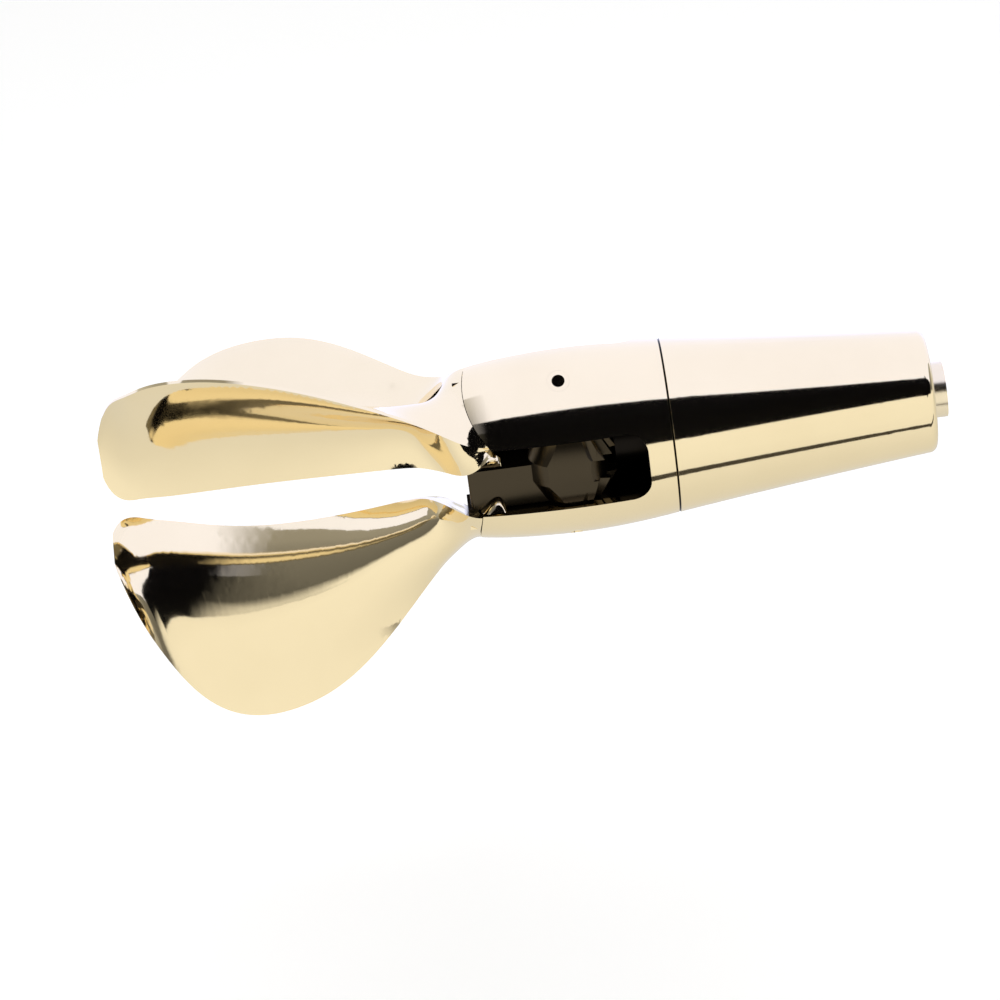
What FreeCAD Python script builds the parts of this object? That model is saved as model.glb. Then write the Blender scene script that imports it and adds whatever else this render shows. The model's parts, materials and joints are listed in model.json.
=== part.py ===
import FreeCAD, Part
import math
import os

# Three-blade folding boat propeller, blades folded. Millimetres.
# The hub axis is X. The shaft comes in from +X, the folded blades lie along -X.
# The origin is on the hub axis at the mouth of the shaft bore.
#
# Each blade has its own root frame at its pivot pin: "ahead" runs from the pin
# towards the blade tip (-X), "out" runs radially out of the hub through the
# middle of the slot, and "side" runs along the pin.

Vector = FreeCAD.Vector
AXIS = Vector(1, 0, 0)

# ---- driving dimensions -------------------------------------------------
BLADES = 3
STUB = 6.5                  # sleeve showing behind the hub
REAR_LENGTH = 118.5         # rear hub, from its rear face to the joint
SEAM_X = -(STUB + REAR_LENGTH)
PIN_AHEAD = 47.3            # pivot plane ahead of the joint
PIN_OFFSET = 23.0           # pin axis to hub axis
PIN_R = 5.0
PIN_X = SEAM_X - PIN_AHEAD
SLOT_HALF = 16.0
SLOT_REAR = 35.5            # slot's rear end behind the pin
SLOT_CORNER = 9.0
CORE_R = 19.0               # solid core between the slots, behind the blade roots
CORE_BEHIND = 11.0
SHOULDER_R = 42.8           # land noses and blade shoulders meet on this radius
GAP = 0.3                   # between a moving blade and the hub
FIT = 0.03                  # radial clearance of fitted pieces
SEAM_R = 39.4
REAR_R = 27.4
LEAF_TURN = 26.0            # leaf plane against the root frame

# Hub outline ahead of the joint: distance from the joint, radius.
SEAM_EDGE = 0.5             # both halves are chamfered at their joint
NOSE = [(SEAM_EDGE, SEAM_R), (21.5, 41.6), (43.0, 42.5), (62.0, 42.0), (81.0, 40.5), (96.0, 38.0)]
# Rear hub outline: distance behind the joint, radius.
TAIL = [(SEAM_EDGE, SEAM_R), (26.0, 36.5), (70.0, 31.9), (114.5, REAR_R + 0.3)]

# Shaft sleeve and its nut
BORE_R = 10.0
KEYWAY = 6.0
SLEEVE_R = 12.5
TAPER_REAR_R = 18.4
TAPER_FRONT_R = 14.0
TAPER_FRONT = 30.0          # behind the joint
NUT_R = 17.5
NUT_LENGTH = 11.0
SPIGOT_R = 30.0
SPIGOT_LENGTH = 5.0

# Bevel sectors on the blade roots: 30 degree pitch cones on both sides
TEETH = 16
TOOTH_BIG = 5.0             # side position of the teeth's large end
KNUCKLE_HALF = 14.9
ADDENDUM = 1.5
DEDENDUM = 2.4
TOOTH_HALF = 1.55           # half a tooth's thickness on the pitch cone
FLANK = 22.0
ROOT_TOP = 38.0             # the roots stay this close to the hub axis


def at(ahead, out, side):
    """A point given in the root frame of the blade whose slot faces -Y."""
    return Vector(PIN_X - ahead, -out, side)


def to_blade(shape, index):
    """Turns a shape made for the first slot to the slot with this index."""
    copy = shape.copy()
    copy.rotate(Vector(0, 0, 0), AXIS, -360.0 * index / BLADES)
    return copy


def rod(radius, start, end):
    """A round rod along the pin direction of the first slot."""
    return Part.makeCylinder(radius, end - start, at(0, PIN_OFFSET, start), Vector(0, 0, 1))


def disc(radius, x_low, x_high):
    """A round disc on the hub axis."""
    return Part.makeCylinder(radius, x_high - x_low, Vector(x_low, 0, 0), AXIS)


def block(ahead, out, side):
    """A box in the root frame from three (low, high) pairs."""
    corner = at(ahead[1], out[1], side[0])
    return Part.makeBox(ahead[1] - ahead[0], out[1] - out[0], side[1] - side[0], corner)


def spline(points):
    curve = Part.BSplineCurve()
    curve.interpolate(points)
    return curve.toShape()


def lathe(edges):
    """Turns an open outline in the XZ plane about the hub axis."""
    return Part.Face(Part.Wire(edges)).revolve(Vector(0, 0, 0), AXIS, 360)


def line(*points):
    return [Part.LineSegment(a, b).toShape() for a, b in zip(points, points[1:])]


def on_xz(x, radius):
    return Vector(x, 0, radius)


# ---- hub ----------------------------------------------------------------
def nose_solid():
    """The front hub before its slots are cut."""
    outline = [on_xz(SEAM_X - ahead, radius) for ahead, radius in NOSE]
    front = SEAM_X - NOSE[-1][0]
    rim = on_xz(SEAM_X, SEAM_R - SEAM_EDGE)
    rest = line(outline[-1], on_xz(front, 0), on_xz(SEAM_X, 0), rim, outline[0])
    return lathe([spline(outline)] + rest)


def slot_cutter():
    """One slot: flat sides, rounded rear corners, open at the front."""
    body = block((-SLOT_REAR, 60), (0, 60), (-SLOT_HALF, SLOT_HALF))
    rear_edges = []
    for edge in body.Edges:
        middle = edge.CenterOfMass
        if abs(middle.x - (PIN_X + SLOT_REAR)) < 0.01 and abs(abs(middle.z) - SLOT_HALF) < 0.01:
            rear_edges.append(edge)
    return body.makeFillet(SLOT_CORNER, rear_edges)


def nose_trim():
    """What is cut off one land so that it ends on the shoulder radius."""
    reach = 90.0
    sector = [Vector(PIN_X - 60, 0, 0)]
    for degrees in (8, -30, -60, -90, -120):
        angle = math.radians(degrees)
        sector.append(at(60, reach * math.cos(angle), reach * math.sin(angle)))
    sector.append(sector[0])
    wedge = Part.Face(Part.makePolygon(sector)).extrude(Vector(60, 0, 0))
    wedge = wedge.common(block((0, 60), (-reach, reach), (-reach, -SLOT_HALF + 1)))
    return wedge.cut(rod(SHOULDER_R, -reach, reach))


SCREW_OUT = 26.0
SCREW_SIDE = 6.0
SCREW_R = 2.5
SCREW_HEAD_R = 4.2
SCREW_HEAD = 5.0
SCREW_LENGTH = 20.0


def screw(index, side, grow=0.0):
    """A socket screw that holds the carrier on the rear hub, in a slot's rear wall."""
    top = SEAM_X - (PIN_AHEAD - SLOT_REAR)
    head = Part.makeCylinder(SCREW_HEAD_R + grow, SCREW_HEAD + grow,
                             Vector(top - grow, -SCREW_OUT, side), AXIS)
    shank = Part.makeCylinder(SCREW_R + grow, SCREW_LENGTH + grow,
                              Vector(top + SCREW_HEAD, -SCREW_OUT, side), AXIS)
    return to_blade(head.fuse(shank), index)


DOWEL_RADIUS_AT = 24.0
DOWEL_R = 2.0
DOWEL_HALF = 6.0


def dowel(index, grow=0.0):
    angle = math.radians(60 + 120 * index)
    centre = Vector(SEAM_X + SPIGOT_LENGTH - DOWEL_HALF, -DOWEL_RADIUS_AT * math.cos(angle),
                    DOWEL_RADIUS_AT * math.sin(angle))
    return Part.makeCylinder(DOWEL_R + grow, 2 * DOWEL_HALF, centre, AXIS)


PLUG_BOTTOM = -28.5         # side position where the pin ends and its plug begins
PIN_BLIND = 26.0            # far end of the pin
ACCESS_R = 8.0
RING_R = 34.0
RING_WIRE = 1.25
RING_GAP = 0.02             # round the seal ring in its groove


def seal_ring():
    """The ring in the joint face of the rear hub."""
    centre = Vector(SEAM_X + RING_WIRE + RING_GAP, 0, 0)
    return Part.makeTorus(RING_R, RING_WIRE, centre, AXIS)


def ring_groove():
    reach = RING_WIRE + RING_GAP
    depth = 2 * reach
    return disc(RING_R + reach, SEAM_X - 1, SEAM_X + depth).cut(
        disc(RING_R - reach, SEAM_X - 2, SEAM_X + depth + 1))


def core():
    """The solid middle behind the blade roots, hollowed to clear their teeth."""
    body = disc(CORE_R, PIN_X + CORE_BEHIND, SEAM_X)
    sweep = pitch_radius() + ADDENDUM + GAP
    for index in range(BLADES):
        body = body.cut(to_blade(rod(sweep, -SLOT_HALF, SLOT_HALF), index))
    return largest(body)


def blade_carrier():
    body = nose_solid()
    spigot = disc(SPIGOT_R, SEAM_X, SEAM_X + SPIGOT_LENGTH)
    body = body.fuse(spigot)
    for index in range(BLADES):
        body = body.cut(to_blade(slot_cutter(), index))
    body = body.fuse(core())
    cutters = []
    for index in range(BLADES):
        cutters.append(to_blade(nose_trim(), index))
        cutters.append(to_blade(rod(PIN_R + FIT, -60, PIN_BLIND + 0.5), index))
        cutters.append(dowel(index, FIT))
        for side in (-SCREW_SIDE, SCREW_SIDE):
            cutters.append(screw(index, side, FIT))
    cutters.append(disc(ACCESS_R + FIT, PIN_X, SEAM_X + 20))
    for cutter in cutters:
        body = body.cut(cutter)
    return largest(body)


def largest(shape):
    """The biggest solid of a cut, cleaned."""
    solid = max(shape.Solids, key=lambda item: item.Volume)
    return solid.removeSplitter()


def taper_radius(behind):
    slope = (TAPER_REAR_R - TAPER_FRONT_R) / (REAR_LENGTH - TAPER_FRONT)
    return TAPER_FRONT_R + slope * (behind - TAPER_FRONT)


def rear_hub():
    outline = [on_xz(SEAM_X + behind, radius) for behind, radius in TAIL]
    rear = SEAM_X + REAR_LENGTH
    edge_r = 3.4
    shoulder = outline[-1]
    corner = on_xz(rear, REAR_R - edge_r)
    bend = on_xz(rear - edge_r * 0.3, REAR_R - edge_r * 0.25)
    rim = on_xz(SEAM_X, SEAM_R - SEAM_EDGE)
    rest = line(corner, on_xz(rear, 0), on_xz(SEAM_X, 0), rim, outline[0])
    arc = Part.Arc(shoulder, bend, corner).toShape()
    body = lathe([spline(outline), arc] + rest)
    body = body.cut(disc(SPIGOT_R + FIT, SEAM_X - 1, SEAM_X + SPIGOT_LENGTH + 0.05))
    body = body.cut(disc(NUT_R + 1.5, SEAM_X - 1, SEAM_X + TAPER_FRONT))
    cone = Part.makeCone(taper_radius(TAPER_FRONT - 1) + FIT, taper_radius(REAR_LENGTH + 1) + FIT,
                         REAR_LENGTH - TAPER_FRONT + 2,
                         Vector(SEAM_X + TAPER_FRONT - 1, 0, 0), AXIS)
    body = body.cut(cone).cut(key_block(FIT))
    body = body.cut(ring_groove())
    for index in range(BLADES):
        body = body.cut(dowel(index, FIT))
        for side in (-SCREW_SIDE, SCREW_SIDE):
            body = body.cut(screw(index, side, FIT))
    return largest(body)


def key_block(grow=0.0):
    """The key that ties the sleeve to the rear hub."""
    half = KEYWAY / 2 + grow
    length = 40.0 + 2 * grow
    low = 14.0 - grow
    height = 6.5 + 2 * grow
    return Part.makeBox(length, 2 * half, height, Vector(SEAM_X + 60 - grow, -half, low))


def shaft_sleeve():
    front = 10.0
    thread_r = 12.0
    cone = Part.makeCone(TAPER_FRONT_R, taper_radius(REAR_LENGTH - 0.5),
                         REAR_LENGTH - 0.5 - TAPER_FRONT, Vector(SEAM_X + TAPER_FRONT, 0, 0), AXIS)
    thread = disc(thread_r, SEAM_X + front, SEAM_X + TAPER_FRONT)
    stub = disc(SLEEVE_R, SEAM_X + REAR_LENGTH - 0.5, 0)
    body = cone.fuse([thread, stub])
    body = body.cut(disc(BORE_R, SEAM_X, 1))
    keyway = Part.makeBox(200, KEYWAY, BORE_R + 2.4, Vector(SEAM_X, -KEYWAY / 2, -BORE_R - 2.4))
    body = body.cut(keyway.common(disc(BORE_R + 2.4, SEAM_X + TAPER_FRONT + 8, 1)))
    return largest(body.cut(key_block(FIT)))


def lock_washer():
    start = SEAM_X + TAPER_FRONT - 1.2
    return disc(16.5, start, start + 1.15).cut(disc(12.0 + FIT, start - 1, start + 2))


def sleeve_nut():
    start = SEAM_X + TAPER_FRONT - 1.25 - NUT_LENGTH
    body = disc(NUT_R, start, start + NUT_LENGTH).cut(disc(12.0 + FIT, start - 1, 0))
    for index in range(4):
        notch = Part.makeBox(5.0, 5.0, 4.0, Vector(start - 0.01, -2.5, NUT_R - 2.5))
        notch.rotate(Vector(0, 0, 0), AXIS, 90 * index + 45)
        body = body.cut(notch)
    return largest(body)


def access_plug():
    """The plug in the carrier's rear wall over the sleeve's end."""
    start = SEAM_X - (PIN_AHEAD - SLOT_REAR) + 1.0
    body = disc(ACCESS_R, start, start + 9.0)
    return body.cut(hexagon(6.0, start - 0.01, 5.0))


def hexagon(across_flats, x_low, depth):
    radius = across_flats / math.sqrt(3)
    corners = [Vector(x_low, radius * math.cos(math.radians(60 * k)),
                      radius * math.sin(math.radians(60 * k))) for k in range(7)]
    return Part.Face(Part.makePolygon(corners)).extrude(Vector(depth, 0, 0))


# ---- pivot ----------------------------------------------------------------
BUSH_WALL = 2.0
WASHER_R = 9.0
RUNNING = 0.05
PLUG_HOLE_R = 2.9


def pivot_pin(index):
    pin = rod(PIN_R, PLUG_BOTTOM + 0.1, PIN_BLIND)
    return to_blade(pin, index)


def pivot_plug(index, skin):
    """The plug over the pin, flush with the hub, with a round key hole."""
    plug = rod(PIN_R, -60, PLUG_BOTTOM).common(skin)
    hole = rod(PLUG_HOLE_R, -60, PLUG_BOTTOM - 2.0)
    return to_blade(largest(plug.cut(hole)), index)


def blade_bush(index):
    bush = rod(PIN_R + BUSH_WALL, -KNUCKLE_HALF + 0.1, KNUCKLE_HALF - 0.1)
    bush = bush.cut(rod(PIN_R + RUNNING, -60, 60))
    return to_blade(bush, index)


def thrust_washers(index):
    pair = []
    for start in (-SLOT_HALF + 0.05, KNUCKLE_HALF + 0.1):
        washer = rod(WASHER_R, start, start + 0.95).cut(rod(PIN_R + RUNNING, -60, 60))
        pair.append(to_blade(washer, index))
    return Part.makeCompound(pair)


# ---- blade root -----------------------------------------------------------
def cone_scale(side):
    """Size of the bevel form at a side position, against its large end."""
    apex = PIN_OFFSET * math.sqrt(3)
    return (apex - abs(side)) / (apex - TOOTH_BIG)


def pitch_radius():
    return PIN_OFFSET - TOOTH_BIG / math.sqrt(3)


def polar(angle, radius, side):
    """A point round the pin: 0 degrees is ahead, 90 degrees is out."""
    turn = math.radians(angle)
    return at(radius * math.cos(turn), PIN_OFFSET + radius * math.sin(turn), side)


def tooth(angle, hand):
    """One straight bevel tooth, tapering towards the pitch cone's apex."""
    lean = math.tan(math.radians(FLANK))
    base = pitch_radius()
    wires = []
    for side in (TOOTH_BIG, KNUCKLE_HALF):
        scale = cone_scale(side)
        corners = []
        for sign, height in ((-1, -DEDENDUM - 0.4), (-1, ADDENDUM), (1, ADDENDUM), (1, -DEDENDUM - 0.4)):
            half = TOOTH_HALF - lean * height
            swing = math.degrees(half / (base + height))
            corners.append(polar(angle + sign * swing, (base + height) * scale, hand * side))
        wires.append(Part.makePolygon(corners + corners[:1]))
    return Part.makeLoft(wires, True, True)


def knuckle():
    """The round root with its bevel teeth on both sides."""
    root = pitch_radius() - DEDENDUM
    small = root * cone_scale(KNUCKLE_HALF)
    middle = rod(root, -TOOTH_BIG, TOOTH_BIG)
    length = KNUCKLE_HALF - TOOTH_BIG
    parts = []
    for hand in (-1, 1):
        parts.append(Part.makeCone(root, small, length, at(0, PIN_OFFSET, hand * TOOTH_BIG),
                                   Vector(0, 0, hand)))
        pitch = 360.0 / TEETH
        phase = 0.0 if hand > 0 else pitch / 2
        for step in range(-8, 2):
            parts.append(tooth(270 + phase + step * pitch, hand))
    return middle.fuse(parts).common(disc(ROOT_TOP, PIN_X - 60, PIN_X + 60))


# ---- blade leaf -------------------------------------------------------------
def leaf_at(ahead, across, along):
    """A point in the leaf frame: across the leaf, and along its chord away from the hub axis."""
    turn = math.radians(LEAF_TURN)
    out = across * math.cos(turn) + along * math.sin(turn)
    side = across * math.sin(turn) - along * math.cos(turn)
    return at(ahead, out, side)


def through(ahead, pairs):
    return spline([leaf_at(ahead, across, along) for across, along in pairs])


def on_circle(radius, degrees):
    """A point round the hub axis in leaf coordinates; 90 degrees is straight along the chord."""
    angle = math.radians(degrees)
    return (radius * math.cos(angle), radius * math.sin(angle))


def hub_section(ahead, radius):
    """The shoulder where it is flush with the hub: a sector of a thick ring."""
    start, ridge, end = 51.0, 117.0, 133.0
    inner = 28.0
    steps = 6
    top = [on_circle(radius, start + (ridge - start) * k / steps) for k in range(steps + 1)]
    cap = [on_circle(radius, ridge), on_circle(radius, ridge + 2)]
    low = [on_circle(radius, ridge + 2 + (end - ridge - 2) * k / steps) for k in range(steps + 1)]
    back = [on_circle(radius, end), on_circle((radius + inner) / 2, end + 0.5), on_circle(inner, end - 6)]
    back += [on_circle(inner, degrees) for degrees in (110, 85, 62)]
    back += [on_circle((radius + inner) / 2, start + 1), on_circle(radius, start)]
    return [top, cap, low, back]


def arm_section(start, crest, ridge, hollow, heel, back_mid):
    """The arm between the shoulder and the leaf, from six corner points."""
    def bow(first, middle, last, steps=6):
        curve = Part.Arc(Vector(*first, 0), Vector(*middle, 0), Vector(*last, 0))
        low, high = curve.FirstParameter, curve.LastParameter
        marks = [curve.value(low + (high - low) * k / steps) for k in range(steps + 1)]
        return [(mark.x, mark.y) for mark in marks]

    top = bow(start, crest, ridge)
    under = (ridge[0] - 1.4, ridge[1] - 0.3)
    low = bow(under, hollow, heel)
    return [top, [ridge, under], low, bow(heel, back_mid, start, 7)]


def leaf_section(inner, outer, camber, thickness):
    """A leaf section: crowned near its inner edge, flatter towards its outer edge."""
    steps = 6
    edge = 1.5
    fullest = 0.186
    chord = math.hypot(outer[0] - inner[0], outer[1] - inner[1])
    unit = ((outer[0] - inner[0]) / chord, (outer[1] - inner[1]) / chord)
    normal = (unit[1], -unit[0])
    top, low = [], []
    for k in range(steps + 1):
        share = (k / steps) ** 1.4
        rise = camber * share * (1 - share) ** 1.5 / fullest
        depth = edge + (thickness - edge) * 4 * share * (1 - share)
        for row, height in ((top, rise), (low, rise - depth)):
            row.append((inner[0] + unit[0] * chord * share + normal[0] * height,
                        inner[1] + unit[1] * chord * share + normal[1] * height))
    low.reverse()
    heel = low[-1]
    back = [(heel[0] + (top[0][0] - heel[0]) * k / 7, heel[1] + (top[0][1] - heel[1]) * k / 7)
            for k in range(8)]
    return [top, [top[-1], low[0]], low, back]


EASE_FROM, EASE_TO = 50.0, 195.0


def eased(sections):
    """The sections with each point moved half way to the line between its neighbours."""
    result = list(sections)
    for i in range(1, len(sections) - 1):
        ahead, groups = sections[i]
        if not EASE_FROM < ahead < EASE_TO:
            continue
        before, first = sections[i - 1]
        after, last = sections[i + 1]
        share = (ahead - before) / (after - before)
        moved = []
        for group, near, far in zip(groups, first, last):
            row = []
            for point, low, high in zip(group, near, far):
                row.append(tuple((p + a + (b - a) * share) / 2 for p, a, b in zip(point, low, high)))
            moved.append(row)
        result[i] = (ahead, moved)
    return result


def blade_sections():
    """Sections from the shoulder to the tip: distance ahead of the pin and four edges."""
    sections = []
    for ahead, radius in ((16.0, 41.9), (30.0, 41.0), (40.0, 39.6)):
        sections.append((ahead, hub_section(ahead, radius)))
    arms = [
        (48.0, (22.9, 28.5), (4.5, 37.8), (-16.7, 39.5), (-23.0, 32.0), (-26.0, 23.5), (-1.0, 26.0)),
        (54.5, (20.5, 24.5), (8.5, 37.0), (-14.6, 43.6), (-18.0, 31.5), (-21.5, 19.0), (0.0, 23.0)),
        (60.0, (9.5, 20.3), (8.5, 34.5), (-13.2, 47.8), (-12.0, 32.5), (-17.5, 17.5), (-4.0, 18.0)),
        (65.5, (-8.0, 17.2), (6.2, 34.8), (-12.7, 52.8), (-5.0, 34.0), (-14.6, 17.6), (-11.0, 16.8)),
    ]
    for ahead, *corners in arms:
        sections.append((ahead, arm_section(*corners)))
    leaves = [
        (72.0, (-13.4, 17.6), (-13.0, 60.0), 17.0, 7.5),
        (85.5, (-14.0, 19.6), (-14.8, 74.5), 15.0, 7.0),
        (101.0, (-14.2, 20.6), (-16.5, 90.5), 13.6, 6.5),
        (117.0, (-14.3, 21.5), (-16.4, 101.5), 12.8, 6.0),
        (135.0, (-14.2, 22.2), (-13.4, 107.3), 12.2, 5.5),
        (153.0, (-13.4, 20.6), (-9.9, 108.4), 11.4, 5.0),
        (166.5, (-11.6, 17.0), (-6.8, 104.8), 10.4, 4.5),
        (180.0, (-9.6, 13.6), (-1.6, 95.0), 9.2, 4.0),
        (191.0, (-8.0, 11.0), (7.4, 76.0), 7.6, 3.6),
        (199.0, (-6.4, 9.6), (15.4, 54.5), 5.4, 3.2),
        (204.0, (-3.0, 11.5), (16.4, 40.0), 3.2, 2.8),
        (207.0, (2.5, 16.0), (13.6, 29.5), 1.2, 2.2),
    ]
    for ahead, *shape in leaves:
        sections.append((ahead, leaf_section(*shape)))
    return eased(eased(sections))


def leaf_and_shoulder():
    wires = []
    for ahead, groups in blade_sections():
        edges = []
        for pairs in groups:
            if len(pairs) == 2:
                edges += line(leaf_at(ahead, *pairs[0]), leaf_at(ahead, *pairs[1]))
            else:
                edges.append(through(ahead, pairs))
        wires.append(Part.Wire(edges))
    return Part.makeLoft(wires, True, False)


def neck():
    """The bar in the slot between the knuckle and the shoulder."""
    bar = block((0, 45.5), (10.0, 29.0), (-SLOT_HALF + GAP, 3.0))
    web = block((36.0, 47.0), (13.0, 29.0), (-25.0, -SLOT_HALF + 1))
    edges = [edge for edge in bar.Edges if abs(edge.CenterOfMass.x - (PIN_X - 45.5)) < 0.01]
    return bar.makeFillet(2.0, edges).fuse(web)


def clear_of_land():
    """The round volume that a land's nose fills beside the blade's own slot."""
    return rod(SHOULDER_R + GAP, -70, -SLOT_HALF + GAP)


def blade():
    body = leaf_and_shoulder()
    body = body.fuse(neck())
    body = body.cut(clear_of_land())
    body = body.cut(block((-60, 30), (-60, 60), (-70, -SLOT_HALF + GAP)))
    body = body.fuse(knuckle())
    body = body.cut(rod(PIN_R + BUSH_WALL + FIT / 3, -60, 60))
    for start, end in ((-60, -KNUCKLE_HALF), (KNUCKLE_HALF, 60)):
        body = body.cut(rod(WASHER_R + GAP, start, end))
    return body


# ---- write the parts ----------------------------------------------------------
def save(name, shape):
    shape.exportStep("parts/" + name + ".step")
    volume = sum(solid.Volume for solid in shape.Solids)
    print(name, len(shape.Solids), "valid" if shape.isValid() else "NOT VALID", round(volume, 1))


def main():
    os.makedirs("parts", exist_ok=True)
    skin = nose_solid()
    save("rear_hub", rear_hub())
    save("blade_carrier", blade_carrier())
    save("shaft_sleeve", shaft_sleeve())
    save("sleeve_key", key_block())
    save("sleeve_nut", sleeve_nut())
    save("lock_washer", lock_washer())
    save("access_plug", access_plug())
    save("hub_seal_ring", seal_ring())
    screws = [screw(index, side) for index in range(BLADES) for side in (-SCREW_SIDE, SCREW_SIDE)]
    save("carrier_screws", Part.makeCompound(screws))
    save("hub_dowels", Part.makeCompound([dowel(index) for index in range(BLADES)]))
    first = blade()
    for index in range(BLADES):
        number = str(index + 1)
        save("blade_" + number, to_blade(largest(first), index))
        save("blade_bush_" + number, blade_bush(index))
        save("pivot_pin_" + number, pivot_pin(index))
        save("pivot_plug_" + number, pivot_plug(index, skin))
        save("thrust_washers_" + number, thrust_washers(index))


main()
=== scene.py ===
import json
import math

import bpy
from mathutils import Matrix, Vector


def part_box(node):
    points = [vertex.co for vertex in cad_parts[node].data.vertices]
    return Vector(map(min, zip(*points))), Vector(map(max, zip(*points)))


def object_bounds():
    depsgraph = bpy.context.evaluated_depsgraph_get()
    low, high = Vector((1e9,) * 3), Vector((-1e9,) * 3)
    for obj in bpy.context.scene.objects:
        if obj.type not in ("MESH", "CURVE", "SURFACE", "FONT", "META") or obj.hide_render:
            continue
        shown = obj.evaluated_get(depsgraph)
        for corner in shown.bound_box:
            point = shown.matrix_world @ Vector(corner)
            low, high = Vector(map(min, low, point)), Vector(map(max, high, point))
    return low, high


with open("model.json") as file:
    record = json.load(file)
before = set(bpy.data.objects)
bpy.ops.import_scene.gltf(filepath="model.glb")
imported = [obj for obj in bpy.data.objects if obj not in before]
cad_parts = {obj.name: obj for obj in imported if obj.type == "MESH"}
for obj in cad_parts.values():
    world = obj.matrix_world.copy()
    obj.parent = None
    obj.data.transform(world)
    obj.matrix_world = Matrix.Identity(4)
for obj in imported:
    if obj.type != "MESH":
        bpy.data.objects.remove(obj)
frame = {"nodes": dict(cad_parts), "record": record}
cad_low, cad_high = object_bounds()
nodes = frame["nodes"]

# The camera looks at the photograph's angle: 26 degrees above the horizon, square to the hub axis,
# with the axis rising 7.5 degrees to the right in the picture.
ELEVATION = math.radians(26.0)
ROLL = math.radians(7.5)
AIM = Vector((-0.2047, -0.0103, -0.0212))
DISTANCE = 2.25
LENS = 180.0
TO_CAMERA = Vector((0, -math.cos(ELEVATION), math.sin(ELEVATION)))
LEVEL_UP = Vector((0, math.sin(ELEVATION), math.cos(ELEVATION)))

CARD_FADE = 0.05            # a card's end towards the blade tips fades out over this length
CARD_STEPS = 24             # faces round a card
FLOOR_GLOW = 0.42           # keeps the floor pale away from the light
CEILING_POWER = 30.0
FLOOR_BELOW = 0.15          # the floor lies this far under the folded propeller


def make_camera():
    data = bpy.data.cameras.new("camera")
    data.lens = LENS
    camera = bpy.data.objects.new("camera", data)
    bpy.context.scene.collection.objects.link(camera)
    right = math.cos(ROLL) * Vector((1, 0, 0)) - math.sin(ROLL) * LEVEL_UP
    up = math.sin(ROLL) * Vector((1, 0, 0)) + math.cos(ROLL) * LEVEL_UP
    turn = Matrix((right, up, TO_CAMERA)).transposed().to_4x4()
    camera.matrix_world = Matrix.Translation(AIM + TO_CAMERA * DISTANCE) @ turn
    bpy.context.scene.camera = camera


# ---- studio -----------------------------------------------------------------
def add(tree, kind, **values):
    """A new node with its inputs set by name."""
    node = tree.nodes.new(kind)
    for name, value in values.items():
        if name in node.inputs:
            node.inputs[name].default_value = value
        else:
            setattr(node, name, value)
    return node


SKY_PEAK = 2.0              # the ramp holds brightness as a share of this
# Brightness of the room round the hub axis: degrees from the camera's direction, upwards.
SKY = [(-180, 0.72), (-100, 0.84), (-45, 0.98), (-15, 1.0), (-4, 0.95), (4, 0.15), (40, 0.19), (60, 0.32),
       (120, 0.40), (170, 0.7)]


def make_studio():
    world = bpy.data.worlds.new("studio")
    world.use_nodes = True
    tree = world.node_tree
    tree.nodes.clear()
    link = tree.links.new
    where = add(tree, "ShaderNodeTexCoord")
    parts = []
    for axis in (LEVEL_UP, TO_CAMERA):
        dot = add(tree, "ShaderNodeVectorMath", operation="DOT_PRODUCT")
        link(where.outputs["Generated"], dot.inputs[0])
        dot.inputs[1].default_value = axis
        parts.append(dot)
    angle = add(tree, "ShaderNodeMath", operation="ARCTAN2")
    link(parts[0].outputs["Value"], angle.inputs[0])
    link(parts[1].outputs["Value"], angle.inputs[1])
    share = add(tree, "ShaderNodeMapRange")
    share.inputs["From Min"].default_value = -math.pi
    share.inputs["From Max"].default_value = math.pi
    link(angle.outputs[0], share.inputs["Value"])
    ramp = add(tree, "ShaderNodeValToRGB")
    while len(ramp.color_ramp.elements) < len(SKY):
        ramp.color_ramp.elements.new(0.5)
    for element, (degrees, bright) in zip(ramp.color_ramp.elements, SKY):
        element.position = (degrees + 180) / 360
    for element, (degrees, bright) in zip(ramp.color_ramp.elements, SKY):
        element.color = (*[bright / SKY_PEAK] * 3, 1)
    link(share.outputs["Result"], ramp.inputs["Fac"])
    shine = add(tree, "ShaderNodeBackground", Strength=SKY_PEAK)
    link(ramp.outputs["Color"], shine.inputs["Color"])
    plain = add(tree, "ShaderNodeBackground", Strength=1.0)
    plain.inputs["Color"].default_value = (0.97, 0.97, 0.97, 1)
    path = add(tree, "ShaderNodeLightPath")
    mix = add(tree, "ShaderNodeMixShader")
    link(path.outputs["Is Camera Ray"], mix.inputs[0])
    link(shine.outputs[0], mix.inputs[1])
    link(plain.outputs[0], mix.inputs[2])
    out = add(tree, "ShaderNodeOutputWorld")
    link(mix.outputs[0], out.inputs["Surface"])
    bpy.context.scene.world = world
    bpy.context.scene.view_settings.view_transform = "Standard"


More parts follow.
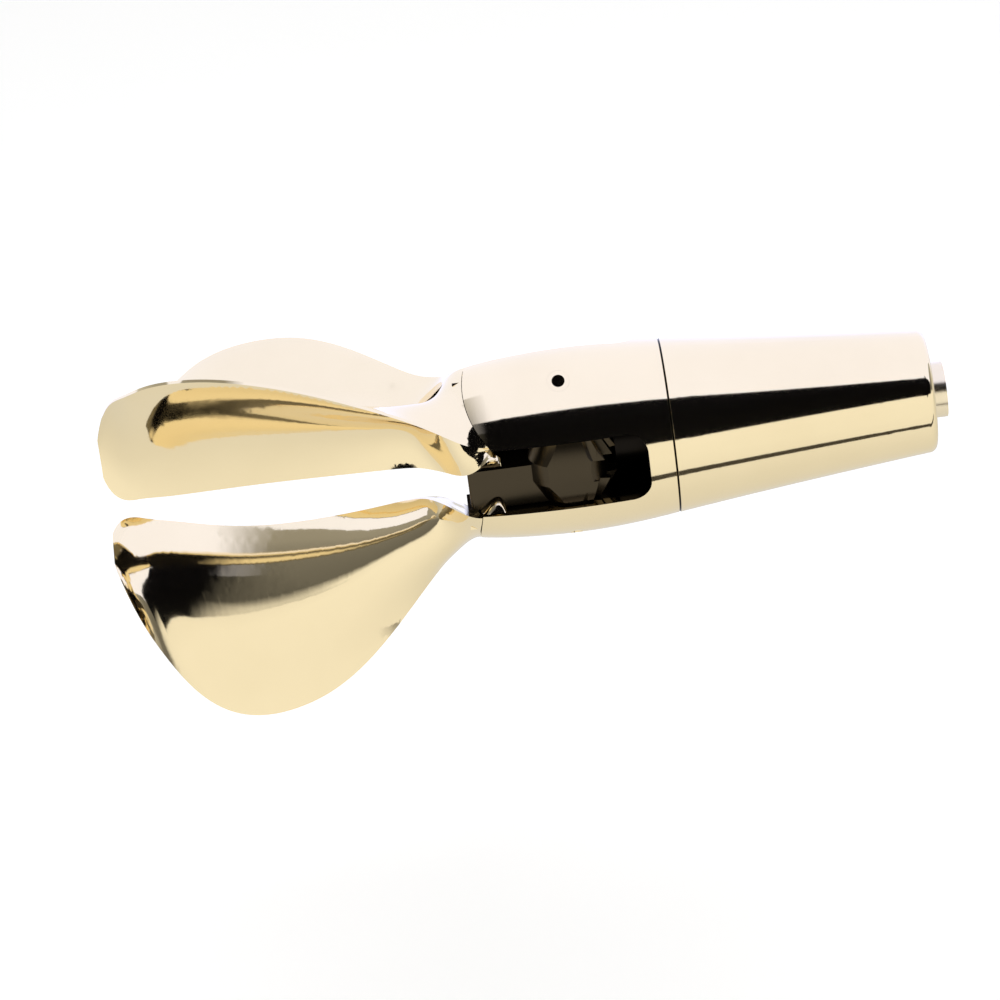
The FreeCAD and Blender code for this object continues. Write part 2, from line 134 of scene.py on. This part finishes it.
def card(name, radius, stations, light):
    """A curved reflector round the hub axis that only shows in reflections.

    stations are (x, lower angle, upper angle), with angles as in SKY."""
    points, faces = [], []
    for x, low, high in stations:
        for k in range(CARD_STEPS + 1):
            angle = math.radians(low + (high - low) * k / CARD_STEPS)
            away = math.cos(angle) * TO_CAMERA + math.sin(angle) * LEVEL_UP
            points.append(Vector((x, 0, 0)) + radius * away)
    row = CARD_STEPS + 1
    for j in range(len(stations) - 1):
        for k in range(CARD_STEPS):
            a = j * row + k
            faces.append((a, a + 1, a + row + 1, a + row))
    mesh = bpy.data.meshes.new(name)
    mesh.from_pydata(points, [], faces)
    reflector = bpy.data.objects.new(name, mesh)
    bpy.context.scene.collection.objects.link(reflector)
    glow = bpy.data.materials.new(name)
    glow.use_nodes = True
    tree = glow.node_tree
    tree.nodes.clear()
    shine = add(tree, "ShaderNodeEmission")
    shine.inputs["Color"].default_value = (*light, 1)
    out = add(tree, "ShaderNodeOutputMaterial")
    where = add(tree, "ShaderNodeTexCoord")
    split = add(tree, "ShaderNodeSeparateXYZ")
    tree.links.new(where.outputs["Object"], split.inputs[0])
    fade = add(tree, "ShaderNodeMapRange")
    fade.inputs["From Min"].default_value = stations[0][0]
    fade.inputs["From Max"].default_value = stations[0][0] + CARD_FADE
    tree.links.new(split.outputs["X"], fade.inputs["Value"])
    clear = add(tree, "ShaderNodeBsdfTransparent")
    mix = add(tree, "ShaderNodeMixShader")
    tree.links.new(fade.outputs["Result"], mix.inputs[0])
    tree.links.new(clear.outputs[0], mix.inputs[1])
    tree.links.new(shine.outputs[0], mix.inputs[2])
    tree.links.new(mix.outputs[0], out.inputs["Surface"])
    mesh.materials.append(glow)
    reflector.visible_camera = False
    reflector.visible_diffuse = False
    reflector.visible_shadow = False


def make_cards():
    card("black_card", 0.25, [(-0.31, -20, 31), (-0.06, -20, 32), (0.06, -7, 22), (0.4, -7, 22)],
         (0.002, 0.002, 0.003))
    card("soft_box", 0.27, [(-0.30, 18, 165), (0.5, 18, 165)], (1.05, 1.12, 1.55))
    card("back_box", 0.8, [(-1.2, 72, 172), (0.5, 72, 172)], (1.03, 1.10, 1.5))
    card("dark_edge", 0.3, [(-0.15, -69, -62), (0.4, -69, -62)], (0.06, 0.055, 0.05))


def make_ceiling_light():
    """A large soft light above the table; the cards do its reflections."""
    data = bpy.data.lights.new("ceiling", "AREA")
    data.shape = "SQUARE"
    data.size = 3.0
    data.energy = CEILING_POWER
    light = bpy.data.objects.new("ceiling", data)
    light.location = (-0.2, 0, 2.2)
    light.visible_camera = False
    light.visible_glossy = False
    bpy.context.scene.collection.objects.link(light)


def make_floor():
    size = 8.0
    height = cad_low.z - FLOOR_BELOW
    corners = [(-size, -size), (size, -size), (size, size), (-size, size)]
    mesh = bpy.data.meshes.new("floor")
    mesh.from_pydata([(x, y, height) for x, y in corners], [], [(0, 1, 2, 3)])
    floor = bpy.data.objects.new("floor", mesh)
    bpy.context.scene.collection.objects.link(floor)
    paint = bpy.data.materials.new("floor_paint")
    paint.use_nodes = True
    shader = paint.node_tree.nodes["Principled BSDF"]
    shader.inputs["Base Color"].default_value = (0.95, 0.95, 0.94, 1)
    shader.inputs["Roughness"].default_value = 0.9
    shader.inputs["Emission Color"].default_value = (1, 1, 1, 1)
    shader.inputs["Emission Strength"].default_value = FLOOR_GLOW
    mesh.materials.append(paint)
    floor.visible_glossy = False


# ---- materials --------------------------------------------------------------
# roughness of the painted-shade areas inside the hub and of the joint line
SHADE_AND_JOINT_ROUGHNESS = 0.3
# painted shade: dark colour on the blade roots where they sit deep inside the hub
ROOT_PAINTED_SHADE = (0.070, 0.055, 0.034)
# painted shade: dark colour deep inside the hub's slots and the rear hub, also used for the dark joint
# line between the hubs
SLOT_SHADE_AND_JOINT = (0.012, 0.010, 0.008)
NECK_AHEAD = 0.047          # the blade's neck reaches this far ahead of its pin
EDGE_SOFT = 0.0012          # the painted shade fades over this depth
END_SOFT = 0.002            # and over this length
SEAM_HALF = 0.0005          # the joint line is this far each way
TAPER_TOP = 0.0150          # inside the rear hub
RECESS_TOP = 0.0376         # slots carry painted shade nearer the axis than this and are polished from here outwards
NECK_TOP = 0.0345           # the neck stays inside this radius
KNUCKLE_AHEAD = 0.020       # the round geared root reaches this far ahead of its pin
KNUCKLE_TOP = 0.0397        # and stays inside this radius
GOLD = (0.94, 0.79, 0.50)
GOLD_DEEP = (0.91, 0.76, 0.475)


def recess(tree, where, ahead_limit, top, seam):
    """Mask for painted shade: 1 deep inside the hub's slots, 0 on the polished outside; with seam it also
    marks the dark joint line.
    """
    link = tree.links.new
    split = add(tree, "ShaderNodeSeparateXYZ")
    link(where.outputs["Object"], split.inputs[0])
    flat = add(tree, "ShaderNodeCombineXYZ")
    link(split.outputs["Y"], flat.inputs["Y"])
    link(split.outputs["Z"], flat.inputs["Z"])
    away = add(tree, "ShaderNodeVectorMath", operation="LENGTH")
    link(flat.outputs[0], away.inputs[0])
    depth = add(tree, "ShaderNodeMapRange")
    depth.inputs["From Min"].default_value = top
    depth.inputs["From Max"].default_value = top - EDGE_SOFT
    link(away.outputs["Value"], depth.inputs["Value"])
    length = add(tree, "ShaderNodeMapRange")
    length.inputs["From Min"].default_value = ahead_limit - END_SOFT
    length.inputs["From Max"].default_value = ahead_limit
    link(split.outputs["X"], length.inputs["Value"])
    both = add(tree, "ShaderNodeMath", operation="MULTIPLY")
    link(depth.outputs["Result"], both.inputs[0])
    link(length.outputs["Result"], both.inputs[1])
    if not seam:
        return both.outputs[0]
    offset = add(tree, "ShaderNodeMath", operation="SUBTRACT")
    offset.inputs[1].default_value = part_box("rear_hub")[0].x
    link(split.outputs["X"], offset.inputs[0])
    size = add(tree, "ShaderNodeMath", operation="ABSOLUTE")
    link(offset.outputs[0], size.inputs[0])
    joint = add(tree, "ShaderNodeMapRange")
    joint.inputs["From Min"].default_value = SEAM_HALF
    joint.inputs["From Max"].default_value = SEAM_HALF * 0.7
    link(size.outputs[0], joint.inputs["Value"])
    either = add(tree, "ShaderNodeMath", operation="MAXIMUM")
    link(both.outputs[0], either.inputs[0])
    link(joint.outputs["Result"], either.inputs[1])
    return either.outputs[0]


def mix_inside_slots(tree, fac, source, plain, socket):
    """source outside the slots and a plain value inside them; for the base colour that plain value is
    painted shade.
    """
    mix = add(tree, "ShaderNodeMix", data_type="RGBA")
    tree.links.new(fac, mix.inputs[0])
    tree.links.new(source, mix.inputs[6])
    mix.inputs[7].default_value = (*plain, 1)
    tree.links.new(mix.outputs[2], socket)


def metal(name, colour, tarnish, roughness, spread, grain, grain_scale, stretch=(1, 1, 1),
          ahead_limit=None, top=RECESS_TOP, seam=False, knuckle_limit=None, dirt=SLOT_SHADE_AND_JOINT):
    """A metal with cloudy colour, uneven polish and fine grain.

    With ahead_limit it gets painted shade inside the hub, nearer the axis than top."""
    paint = bpy.data.materials.new(name)
    paint.use_nodes = True
    tree = paint.node_tree
    link = tree.links.new
    shader = tree.nodes["Principled BSDF"]
    shader.inputs["Metallic"].default_value = 1.0
    where = add(tree, "ShaderNodeTexCoord")
    cloud = add(tree, "ShaderNodeTexNoise", Scale=18.0, Detail=5.0, Roughness=0.55)
    link(where.outputs["Object"], cloud.inputs["Vector"])
    colours = add(tree, "ShaderNodeValToRGB")
    colours.color_ramp.elements[0].position = 0.3
    colours.color_ramp.elements[0].color = (*tarnish, 1)
    colours.color_ramp.elements[1].position = 0.62
    colours.color_ramp.elements[1].color = (*colour, 1)
    link(cloud.outputs["Fac"], colours.inputs["Fac"])
    if ahead_limit is None:
        link(colours.outputs["Color"], shader.inputs["Base Color"])
    scale = add(tree, "ShaderNodeMapping")
    scale.inputs["Scale"].default_value = stretch
    link(where.outputs["Object"], scale.inputs["Vector"])
    fine = add(tree, "ShaderNodeTexNoise", Scale=grain_scale, Detail=6.0, Roughness=0.6)
    link(scale.outputs["Vector"], fine.inputs["Vector"])
    polish = add(tree, "ShaderNodeMapRange")
    polish.inputs["To Min"].default_value = roughness - spread
    polish.inputs["To Max"].default_value = roughness + spread
    link(fine.outputs["Fac"], polish.inputs["Value"])
    if ahead_limit is None:
        link(polish.outputs["Result"], shader.inputs["Roughness"])
    else:
        inside = recess(tree, where, ahead_limit, top, seam)
        if knuckle_limit is not None:
            both = add(tree, "ShaderNodeMath", operation="MAXIMUM")
            link(inside, both.inputs[0])
            link(recess(tree, where, knuckle_limit, KNUCKLE_TOP, False), both.inputs[1])
            inside = both.outputs[0]
        # painted shade: the base colour turns to the dark shade colour inside the slots, and to a dark
        # joint colour along the joint line
        mix_inside_slots(tree, inside, colours.outputs["Color"], dirt, shader.inputs["Base Color"])
        rough = (SHADE_AND_JOINT_ROUGHNESS,) * 3
        mix_inside_slots(tree, inside, polish.outputs["Result"], rough, shader.inputs["Roughness"])
    bump = add(tree, "ShaderNodeBump", Strength=grain, Distance=0.0002)
    link(fine.outputs["Fac"], bump.inputs["Height"])
    link(bump.outputs["Normal"], shader.inputs["Normal"])
    return paint


def dull(name, colour, roughness):
    """A matt polymer or rubber with fine specks."""
    paint = bpy.data.materials.new(name)
    paint.use_nodes = True
    tree = paint.node_tree
    shader = tree.nodes["Principled BSDF"]
    shader.inputs["Roughness"].default_value = roughness
    where = add(tree, "ShaderNodeTexCoord")
    speck = add(tree, "ShaderNodeTexNoise", Scale=900.0, Detail=4.0)
    tree.links.new(where.outputs["Object"], speck.inputs["Vector"])
    shades = add(tree, "ShaderNodeValToRGB")
    shades.color_ramp.elements[0].color = (*[0.6 * part for part in colour], 1)
    shades.color_ramp.elements[1].color = (*colour, 1)
    tree.links.new(speck.outputs["Fac"], shades.inputs["Fac"])
    tree.links.new(shades.outputs["Color"], shader.inputs["Base Color"])
    bump = add(tree, "ShaderNodeBump", Strength=0.2, Distance=0.0001)
    tree.links.new(speck.outputs["Fac"], bump.inputs["Height"])
    tree.links.new(bump.outputs["Normal"], shader.inputs["Normal"])
    return paint


def bright_bronze(name, **dark):
    """The mirror-polished bronze of the hub and blades."""
    return metal(name, GOLD, GOLD_DEEP, 0.07, 0.02, 0.03, 260.0, **dark)


def paint_nodes():
    polished = bright_bronze("polished_bronze")
    low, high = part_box("pivot_pin_1")
    pin_x = (low.x + high.x) / 2
    nose_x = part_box("blade_carrier")[0].x + 0.001
    # painted shade: the hub and rear hub are painted dark inside their slots and bore
    hub_bronze = bright_bronze("hub_bronze", ahead_limit=nose_x, seam=True)
    joint_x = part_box("rear_hub")[0].x
    rear_bronze = bright_bronze("rear_bronze", ahead_limit=joint_x, top=TAPER_TOP, seam=True)
    # painted shade: the blade roots turn dark inside the hub, at the neck and the geared knuckle
    blade_bronze = bright_bronze("blade_bronze", ahead_limit=pin_x - NECK_AHEAD, top=NECK_TOP,
                                 knuckle_limit=pin_x - KNUCKLE_AHEAD, dirt=ROOT_PAINTED_SHADE)
    turned = metal("turned_bronze", (0.90, 0.78, 0.55), (0.82, 0.68, 0.44),
                   0.2, 0.06, 0.12, 500.0, (14, 1, 1))
    steel = metal("machined_steel", (0.60, 0.60, 0.61), (0.5, 0.5, 0.51),
                  0.28, 0.08, 0.15, 600.0, (8, 1, 1))
    bush = dull("bush_polymer", (0.05, 0.05, 0.055), 0.5)
    rubber = dull("seal_rubber", (0.02, 0.02, 0.02), 0.8)
    by_slot = {"polished_bronze": polished, "pale_bronze": turned, "steel": steel,
               "bush_polymer": bush, "seal_rubber": rubber}
    by_node = {"blade_carrier": hub_bronze, "rear_hub": rear_bronze}
    for number in "123":
        by_node["blade_" + number] = blade_bronze
    for row in frame["record"]["subparts"]:
        name = row["node"]
        mesh = nodes[name].data
        mesh.materials.clear()
        paint = by_slot[row["material_slot"]]
        mesh.materials.append(by_node.get(name, paint))


make_camera()
make_studio()
make_cards()
make_ceiling_light()
make_floor()
paint_nodes()
